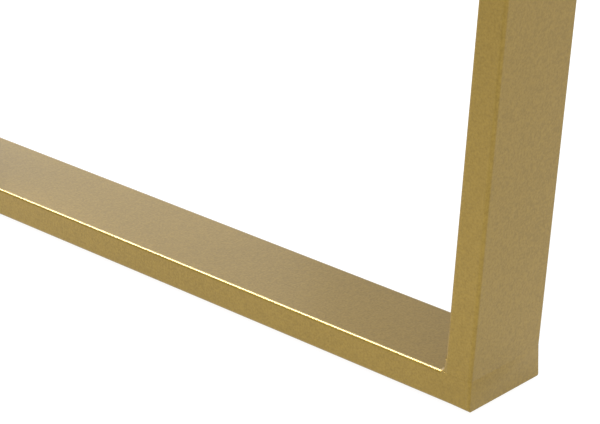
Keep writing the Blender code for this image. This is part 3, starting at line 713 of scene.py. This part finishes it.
for side, _ in SIDES:
    body = f"{side}_drawer"
    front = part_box(f"{side}_drawer_front")
    points, faces, runs = skin_over(slab(*front, 0.0014, 0.0014, 1))
    finish_piece(f"{side}_drawer_front_board", points, faces, WALNUT_LONG, body,
                 [f"{side}_drawer_front"], runs)
    repaint(DRAWER_FOIL, f"{side}_drawer_left_side", f"{side}_drawer_right_side",
            f"{side}_drawer_back")
    repaint(GREY_FLOCK, f"{side}_drawer_bottom")

    low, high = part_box(f"{side}_handle")
    path = bar_handle_path(low, high, HANDLE_ROD, HANDLE_BEND)
    points, faces, runs = skin_over(rod_rings(path, HANDLE_ROD))
    finish_piece(f"{side}_bar_handle", points, faces, DRAWN_GOLD, body,
                 [f"{side}_handle"], runs)

    inside_y, middle_z = front[1].y, (low.z + high.z) / 2
    screws = [
        pan_screw((x, inside_y, middle_z), (0, 1, 0), (math.cos(turn), 0, math.sin(turn)))
        for x, turn in ((low.x + HANDLE_ROD, 0.4), (high.x - HANDLE_ROD, 1.0),
                        (low.x - FRONT_SCREW, 0.8), (high.x + FRONT_SCREW, 0.1))
    ]
    points, faces, runs = several(screws)
    finish_piece(f"{side}_front_screws", points, faces, ZINC_PLATE, body)


# ---------------------------------------------------------------------------------------------
# The drawer slides: three members each, rolled from zinc plated strip, with the lips turned in
# as races for the balls. Pan head screws hold the outer member to the cabinet and the inner
# one to the drawer.
# ---------------------------------------------------------------------------------------------

STRIP = 0.0012


def rolled_outline(web, tip, half, lip, bend=0.0016):
    """Outline of a channel rolled from strip: its middle line offset half the strip both ways.

    From the first lip the line turns a quarter circle, runs back to the web, turns again, goes
    down the web, and is mirrored below.
    """
    out = 1 if tip > web else -1
    reach = abs(tip - web)
    t = STRIP / 2
    angles = np.linspace(0, math.pi / 2, 6)
    right, top = reach - t, half - t
    lip_line = np.array([[right, top - bend - lip]])
    turn_in = np.stack([right - bend + bend * np.cos(angles), top - bend + bend * np.sin(angles)], 1)
    turn_web = np.stack([t + bend - bend * np.sin(angles), top - bend + bend * np.cos(angles)], 1)
    upper = np.concatenate([lip_line, turn_in, turn_web])
    lower = upper[::-1] * [1, -1]
    line = np.concatenate([upper, lower])
    direction = np.gradient(line, axis=0)
    direction /= np.linalg.norm(direction, axis=1)[:, None]
    normal = np.stack([-direction[:, 1], direction[:, 0]], 1)
    ring = np.concatenate([line + normal * t, (line - normal * t)[::-1]])
    return np.stack([web + out * ring[:, 0], ring[:, 1]], 1)


LIPS = {"outer": 0.0008, "middle": 0.0004, "inner": 0.0002}
for side, _ in SIDES:
    bodies = {"outer": "table", "middle": f"{side}_drawer_middle_slides", "inner": f"{side}_drawer"}
    for hand, toward in SIDES:
        for member, body in bodies.items():
            node = f"{side}_drawer_{hand}_slide_{member}"
            low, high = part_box(node)
            opens_right = (toward < 0) == (member != "inner")
            web, tip = (low.x, high.x) if opens_right else (high.x, low.x)
            half, middle = (high.z - low.z) / 2, (high.z + low.z) / 2
            outline = rolled_outline(web, tip, half, LIPS[member])
            places = np.array([low.y, high.y])
            rings = np.empty((2, len(outline), 3))
            rings[:, :, 0], rings[:, :, 2] = outline[:, 0], outline[:, 1] + middle
            rings[:, :, 1] = places[:, None]
            points, faces, runs = skin_over(rings)
            finish_piece(f"{node}_rail", points, faces, ZINC_PLATE, body, [node], runs)


# ---------------------------------------------------------------------------------------------
# The mirror: float glass with a ground bevel, silvered behind, in a spun brass coloured ring
# with a dark hardboard back. Bosses on the ring carry it in the yoke, with a nylon washer and
# a fluted thumb knob on each side to set how stiffly it tilts.
# ---------------------------------------------------------------------------------------------

def silvered_glass():
    """Mirror: near perfect reflection, a hint of green, and wiping haze in broad arcs."""
    finish = Finish("silvered_glass", Metallic=1.0)
    wiped = finish.noise(finish.place((9, 1, 3)), 2, 3)
    dust = finish.specks(finish.place(), 150, 0.03, 0.04)
    finish.set(
        Base_Color=finish.tint(dust * 0.4, (0.86, 0.885, 0.875, 1), (0.6, 0.6, 0.6, 1)),
        Roughness=0.012 + wiped.above(0.6, 0.3) * 0.03 + dust * 0.3,
    )
    return finish.material


def hardboard():
    """Dark oil-tempered hardboard: matted brown-black fibres, a screen pattern pressed in."""
    dark, light = (0.030, 0.022, 0.017, 1), (0.085, 0.064, 0.048, 1)
    finish = Finish("hardboard")
    fibre = finish.noise(finish.place((900, 900, 300)), 1, 3, 0.7)
    mottle = finish.noise(finish.place(), 170, 3, 0.7)
    tone = fibre * 0.72 + mottle * 0.28
    finish.set(
        Base_Color=finish.tint(tone.above(0.5, 0.36), dark, light),
        Roughness=0.62 + fibre * 0.2,
        Normal=finish.bump(fibre, 0.00012),
    )
    return finish.material


SILVERED_GLASS = silvered_glass()
HARDBOARD = hardboard()
ROUND = 192


def turned_rings(profile, centre, axis, across, steps, flute=None):
    """Rings of a turned piece: one for each step round the axis, each a copy of the profile.

    A profile point (radius, height) goes to centre + height * axis + radius * (cos a * across
    + sin a * other); flute scales the radius by a function of the angle and the height.
    """
    profile = np.asarray(profile, float)
    axis, across = np.array(axis, float), np.array(across, float)
    other = np.cross(axis, across)
    angles = np.linspace(0, math.tau, steps, endpoint=False)
    radius = np.broadcast_to(profile[:, 0], (steps, len(profile)))
    if flute:
        radius = radius * flute(angles[:, None], profile[:, 1][None])
    arm = np.cos(angles)[:, None] * across + np.sin(angles)[:, None] * other
    return centre + profile[None, :, 1, None] * axis + radius[..., None] * arm[:, None]


def turned_skin(rings, closed):
    """Faces of a turned piece. A closed profile makes a ring; an open one starts and ends on the
    axis, where all the steps share one point."""
    steps, count = rings.shape[:2]
    if closed:
        index = np.arange(steps * count).reshape(steps, count)
        points = rings.reshape(-1, 3)
        index = np.concatenate([index, index[:, :1]], 1)
    else:
        inner = rings[:, 1:-1]
        index = 2 + np.arange(steps * (count - 2)).reshape(steps, count - 2)
        points = np.concatenate([rings[0, :1], rings[0, -1:], inner.reshape(-1, 3)])
    after = np.roll(index, -1, 0)
    quads = np.stack([index[:, :-1], after[:, :-1], after[:, 1:], index[:, 1:]], -1).reshape(-1, 4)
    rows = index.shape[1]
    radius = np.linalg.norm(rings[0] - rings[steps // 2], axis=1) / 2
    gaps = np.linalg.norm(np.diff(rings[0], axis=0, append=rings[0][:1]), axis=1)
    over = np.concatenate([[0], np.cumsum(gaps)])
    u = np.linspace(0, math.tau * radius.max(), steps + 1)
    v = over[:rows] if closed else over[1 : rows + 1]
    uv = np.stack(np.meshgrid(u, v, indexing="ij"), -1)
    runs = np.stack([uv[:-1, :-1], uv[1:, :-1], uv[1:, 1:], uv[:-1, 1:]], 2).reshape(-1, 2)
    faces = quads.tolist()
    if not closed:
        for pole, row, place in ((0, 0, 0), (1, -1, over[count - 1])):
            fan = np.stack([index[:, row], after[:, row], np.full(steps, pole)], 1)
            faces += fan.tolist()
            ends = np.stack([uv[:-1, row], uv[1:, row], (uv[:-1, row] + uv[1:, row]) / 2], 1)
            ends[:, 2, 1] = place
            runs = np.concatenate([runs, ends.reshape(-1, 2)])
    return points, faces, runs


def quarter(centre, radius, start, steps=5):
    """Points of a quarter circle in a profile, from angle `start` on, anticlockwise."""
    angles = math.radians(start) + np.linspace(0, math.pi / 2, steps + 1)
    return [(centre[0] + radius * math.cos(a), centre[1] + radius * math.sin(a)) for a in angles]


pivot = next(joint["pos_m"] for joint in frame["joints"] if joint["name"] == "mirror_tilt")
centre = np.array(pivot)
FORWARD, RIGHT, UP = (0, -1, 0), (1, 0, 0), (0, 0, 1)
ring_low, ring_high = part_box("mirror_ring")
glass_low, glass_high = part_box("mirror_glass")
panel_low, panel_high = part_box("mirror_back_panel")
ring_outer = (ring_high.x - ring_low.x) / 2
glass_outer = (glass_high.x - glass_low.x) / 2
ring_front, ring_back = pivot[1] - ring_low.y, pivot[1] - ring_high.y
RING_WALL, RING_LIP, LIP_THICKNESS = 0.0035, 0.004, 0.002
ring_inner, lip_inner = ring_outer - RING_WALL, glass_outer - RING_LIP
ring_profile = [(ring_inner, ring_back + 0.0004), (ring_inner + 0.0004, ring_back)]
ring_profile += quarter((ring_outer - 0.0010, ring_back + 0.0010), 0.0010, 270)
ring_profile += quarter((ring_outer - 0.0016, ring_front - 0.0016), 0.0016, 0)
ring_profile += [(ring_outer - 0.0022, ring_front), (lip_inner + 0.0014, ring_front)]
ring_profile += quarter((lip_inner + 0.0009, ring_front - 0.0009), 0.0009, 90)
ring_profile += [(lip_inner, ring_front - LIP_THICKNESS), (ring_inner, ring_front - LIP_THICKNESS)]
points, faces, runs = turned_skin(turned_rings(ring_profile, centre, FORWARD, RIGHT, ROUND), True)
finish_piece("mirror_rim", points, faces, DRAWN_GOLD, "mirror", ["mirror_ring"], runs)

BEVEL_WIDTH, BEVEL_DROP = 0.016, 0.0011
glass_front, glass_back = pivot[1] - glass_low.y, pivot[1] - glass_high.y
glass_profile = [
    (0, glass_back), (glass_outer, glass_back),
    (glass_outer, glass_front - BEVEL_DROP - 0.0003),
    (glass_outer - 0.0004, glass_front - BEVEL_DROP),
    (lip_inner - BEVEL_WIDTH + 0.0002, glass_front - 0.00002),
    (lip_inner - BEVEL_WIDTH, glass_front), (0, glass_front),
]
points, faces, runs = turned_skin(turned_rings(glass_profile, centre, FORWARD, RIGHT, ROUND), False)
finish_piece("mirror_plate", points, faces, SILVERED_GLASS, "mirror",
             ["mirror_glass"], runs, sharp=0.5)

panel_front, panel_back = pivot[1] - panel_low.y, pivot[1] - panel_high.y
panel_profile = [(0, panel_back), (glass_outer - 0.0012, panel_back),
                 (glass_outer, panel_back + 0.0012), (glass_outer, panel_front), (0, panel_front)]
points, faces, runs = turned_skin(turned_rings(panel_profile, centre, FORWARD, RIGHT, ROUND), False)
finish_piece("mirror_backing", points, faces, HARDBOARD, "mirror",
             ["mirror_back_panel"], runs)

BOSS_BORE, BOSS_EDGE = 0.0034, 0.0008
KNOB_FLUTES, KNOB_LENGTH, STUD = 28, 0.013, 0.0030
for side, outward in SIDES:
    axis = (outward, 0, 0)
    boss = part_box(f"{side}_pivot_boss")
    boss_radius = (boss[1].z - boss[0].z) / 2
    near, far = sorted((abs(boss[0].x), abs(boss[1].x)))
    boss_profile = [(BOSS_BORE, near), (boss_radius, near)]
    boss_profile += quarter((boss_radius - BOSS_EDGE, far - BOSS_EDGE), BOSS_EDGE, 0)
    boss_profile += [(BOSS_BORE, far)]
    rings = turned_rings(boss_profile, centre, axis, UP, 64)
    points, faces, runs = turned_skin(rings, True)
    finish_piece(f"{side}_tilt_boss", points, faces, DRAWN_GOLD, "mirror",
                 [f"{side}_pivot_boss"], runs)
    repaint(BLACK_NYLON, f"{side}_friction_washer")

    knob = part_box(f"{side}_pivot_knob")
    knob_radius = (knob[1].z - knob[0].z) / 2
    stud_start, knob_end = sorted((abs(knob[0].x), abs(knob[1].x)))
    knob_start = knob_end - KNOB_LENGTH
    knob_profile = [(0, stud_start), (STUD - 0.0004, stud_start), (STUD, stud_start + 0.0004),
                    (STUD, knob_start), (knob_radius - 0.0030, knob_start)]
    knob_profile += [(knob_radius - 0.0006, knob_start + 0.0012),
                     (knob_radius, knob_start + 0.0020)]
    knob_profile += [(knob_radius, z) for z in np.linspace(knob_start + 0.003, knob_end - 0.0035, 4)]
    knob_profile += [(knob_radius, knob_end - 0.0026), (knob_radius - 0.0007, knob_end - 0.0014),
                     (knob_radius - 0.0022, knob_end - 0.0003), (knob_radius - 0.0034, knob_end),
                     (knob_radius - 0.0060, knob_end), (knob_radius - 0.0066, knob_end - 0.0006),
                     (0.0008, knob_end - 0.0008), (0, knob_end - 0.0008)]

    def fluted(angle, height, start=knob_start + 0.0010, end=knob_end - 0.0012):
        """The rim's radius dips by 6% between the flutes, as (1 - cos(n a)) / 2."""
        on_rim = (height > start) & (height < end)
        return 1 - 0.06 * on_rim * (0.5 - 0.5 * np.cos(KNOB_FLUTES * angle)) ** 0.7

    rings = turned_rings(knob_profile, centre, axis, UP, KNOB_FLUTES * 8, fluted)
    points, faces, runs = turned_skin(rings, False)
    finish_piece(f"{side}_thumb_knob", points, faces, DRAWN_GOLD, f"{side}_pivot_knob",
                 [f"{side}_pivot_knob"], runs)


# ---------------------------------------------------------------------------------------------
# The yoke: one round rod bent to a half circle, welded to an eye at each head and into a
# turned foot, which stands on a round plate screwed to the table top.
# ---------------------------------------------------------------------------------------------

yoke_low, yoke_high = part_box("mirror_yoke")
YOKE_ROD, BEND_STEPS = 0.007, 161
yoke_radius = (yoke_high.x - yoke_low.x) / 2 - YOKE_ROD
bend_z = yoke_low.z + YOKE_ROD + yoke_radius
angles = np.linspace(math.pi, math.tau, BEND_STEPS)
bend = np.stack([yoke_radius * np.cos(angles), np.full(BEND_STEPS, pivot[1]),
                 bend_z + yoke_radius * np.sin(angles)], 1)
head = np.array([[-yoke_radius, pivot[1], yoke_high.z]])
path = np.concatenate([head, bend, head * [-1, 1, 1]])
points, faces, runs = skin_over(rod_rings(path, YOKE_ROD, 32, (0, -1, 0), 0.0003))
finish_piece("yoke_rod", points, faces, DRAWN_GOLD, "table", ["mirror_yoke"], runs)

LUG_EDGE = 0.0007
for side, _ in SIDES:
    low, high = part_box(f"{side}_yoke_lug")
    radius = (high.y - low.y) / 2
    turn = np.linspace(0, math.pi, 33)
    around = np.concatenate([[[1, -1.0]], np.stack([np.cos(turn), np.sin(turn)], 1), [[-1, -1.0]]])
    rings = []
    thickness = high.x - low.x
    quarter_turn = np.linspace(math.pi / 2, 0, 5)
    inset = LUG_EDGE * (1 - np.cos(quarter_turn))
    depth = LUG_EDGE * (1 - np.sin(quarter_turn))
    drop = pivot[2] - low.z
    for draw, x in zip([*inset, *inset[::-1]], [*(low.x + depth), *(high.x - depth[::-1])]):
        size = radius - draw
        outline = around * size
        outline[[0, -1], 1] = -drop
        rings.append(np.stack([np.full(len(outline), x), pivot[1] + outline[:, 0],
                               pivot[2] + outline[:, 1]], 1))
    points, faces, runs = skin_over(rings)
    finish_piece(f"{side}_yoke_eye", points, faces, DRAWN_GOLD, "table",
                 [f"{side}_yoke_lug"], runs)

low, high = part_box("yoke_socket")
foot_radius, neck_radius, edge = (high.x - low.x) / 2, 0.0105, 0.0006
rise = np.linspace(0, 1, 25)
flare = neck_radius + (foot_radius - neck_radius) * (1 - rise) ** 2.5
height = low.z + edge + rise * (high.z - low.z - 2 * edge)
socket_profile = [(0, low.z), (foot_radius - edge, low.z), *zip(flare, height)]
socket_profile += [(neck_radius - edge, high.z), (0, high.z)]
foot_centre = np.array([0, pivot[1], 0])
points, faces, runs = turned_skin(turned_rings(socket_profile, foot_centre, UP, RIGHT, 96), False)
finish_piece("yoke_foot", points, faces, DRAWN_GOLD, "table", ["yoke_socket"], runs)

low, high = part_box("yoke_plate")
plate_radius = (high.x - low.x) / 2
plate_profile = [(0, low.z), (plate_radius - 0.0004, low.z), (plate_radius, low.z + 0.0004)]
plate_profile += quarter((plate_radius - 0.0022, high.z - 0.0022), 0.0022, 0)
plate_profile += [(plate_radius - 0.0028, high.z), (0, high.z)]
points, faces, runs = turned_skin(turned_rings(plate_profile, foot_centre, UP, RIGHT, ROUND), False)
finish_piece("yoke_base", points, faces, DRAWN_GOLD, "table", ["yoke_plate"], runs)
SCREW_CIRCLE, SCREW_SINK, SCREW_HEAD, SCREW_RISE = 0.052, 0.0002, 0.0042, 0.0015
screws = [
    pan_screw((SCREW_CIRCLE * math.cos(a), pivot[1] + SCREW_CIRCLE * math.sin(a),
               high.z - SCREW_SINK), UP, (math.cos(5 * a), math.sin(5 * a), 0),
              SCREW_HEAD, SCREW_RISE)
    for a in (math.radians(30), math.radians(150), math.radians(270))
]
points, faces, runs = several(screws)
finish_piece("yoke_base_screws", points, faces, DRAWN_GOLD, "table", (), runs)


# ---------------------------------------------------------------------------------------------
# The studio: a white floor that is lit through from below, a large bank of lamps overhead, two
# weak ones low at the back, and a soft white room.
# ---------------------------------------------------------------------------------------------

def glowing_floor():
    """White acrylic, lit from behind: it glows by itself, less on the left, and takes a faint
    shadow."""
    finish = Finish("white_floor", Roughness=0.85, Emission_Strength=0.94)
    here = finish.place()
    cloud = finish.noise(here, 1.5, 2)
    white = finish.tint(cloud.above(0.5, 0.5), (0.13, 0.13, 0.13, 1), (0.15, 0.15, 0.15, 1))
    across = finish.add("SeparateXYZ", output=0, Vector=here)
    lit = finish.tint(across.above(-0.87, 0.5), (0.62, 0.62, 0.62, 1), (1, 1, 1, 1))
    finish.set(Base_Color=white, Emission_Color=lit)
    return finish.material


FLOOR_HALF = 60.0
mesh = bpy.data.meshes.new("studio_floor")
mesh.from_pydata([(-FLOOR_HALF, -FLOOR_HALF, 0), (FLOOR_HALF, -FLOOR_HALF, 0),
                  (FLOOR_HALF, FLOOR_HALF, 0), (-FLOOR_HALF, FLOOR_HALF, 0)], [], [(0, 1, 2, 3)])
mesh.materials.append(glowing_floor())
floor = bpy.data.objects.new("studio_floor", mesh)
bpy.context.scene.collection.objects.link(floor)

scene = bpy.context.scene
scene.view_settings.view_transform = "Standard"
room = bpy.data.worlds.new("room")
room.use_nodes = True
ROOM_LIGHT = 0.80
glow = room.node_tree.nodes["Background"].inputs
glow["Color"].default_value, glow["Strength"].default_value = (1, 1, 1, 1), ROOM_LIGHT
scene.world = room


def soft_box(name, at, aim, width, length, watts):
    """A rectangular lamp of this size in metres, turned so that it faces `aim`."""
    lamp = bpy.data.lights.new(name, "AREA")
    lamp.shape, lamp.size, lamp.size_y, lamp.energy = "RECTANGLE", width, length, watts
    box = bpy.data.objects.new(name, lamp)
    scene.collection.objects.link(box)
    box.location = at
    box.rotation_euler = (Vector(aim) - Vector(at)).to_track_quat("-Z", "Y").to_euler()
    box.visible_camera = False
    return box


soft_box("overhead_bank", (-0.6, 1.9, 3.4), (-0.4, 0.0, 0.0), 1.2, 3.0, 318)
soft_box("back_bank", (1.6, 2.8, 1.35), (-0.4, 0.1, 0.0), 1.4, 1.4, 3)
soft_box("low_bank", (0.5, 3.2, 0.8), (-0.4, 0.1, 0.0), 2.0, 0.8, 25)

LENS = 134.115
YAW, PITCH = math.radians(43.1442), math.radians(23.4265)
lens = bpy.data.cameras.new("camera")
lens.lens, lens.sensor_width = LENS, 36.0
lens.clip_start, lens.clip_end = 0.05, 200
camera = bpy.data.objects.new("camera", lens)
scene.collection.objects.link(camera)
camera.location = (-1.15724, -0.73455, 0.47652)
camera.rotation_euler = (math.pi / 2 - PITCH, 0, YAW - math.pi / 2)
scene.camera = camera
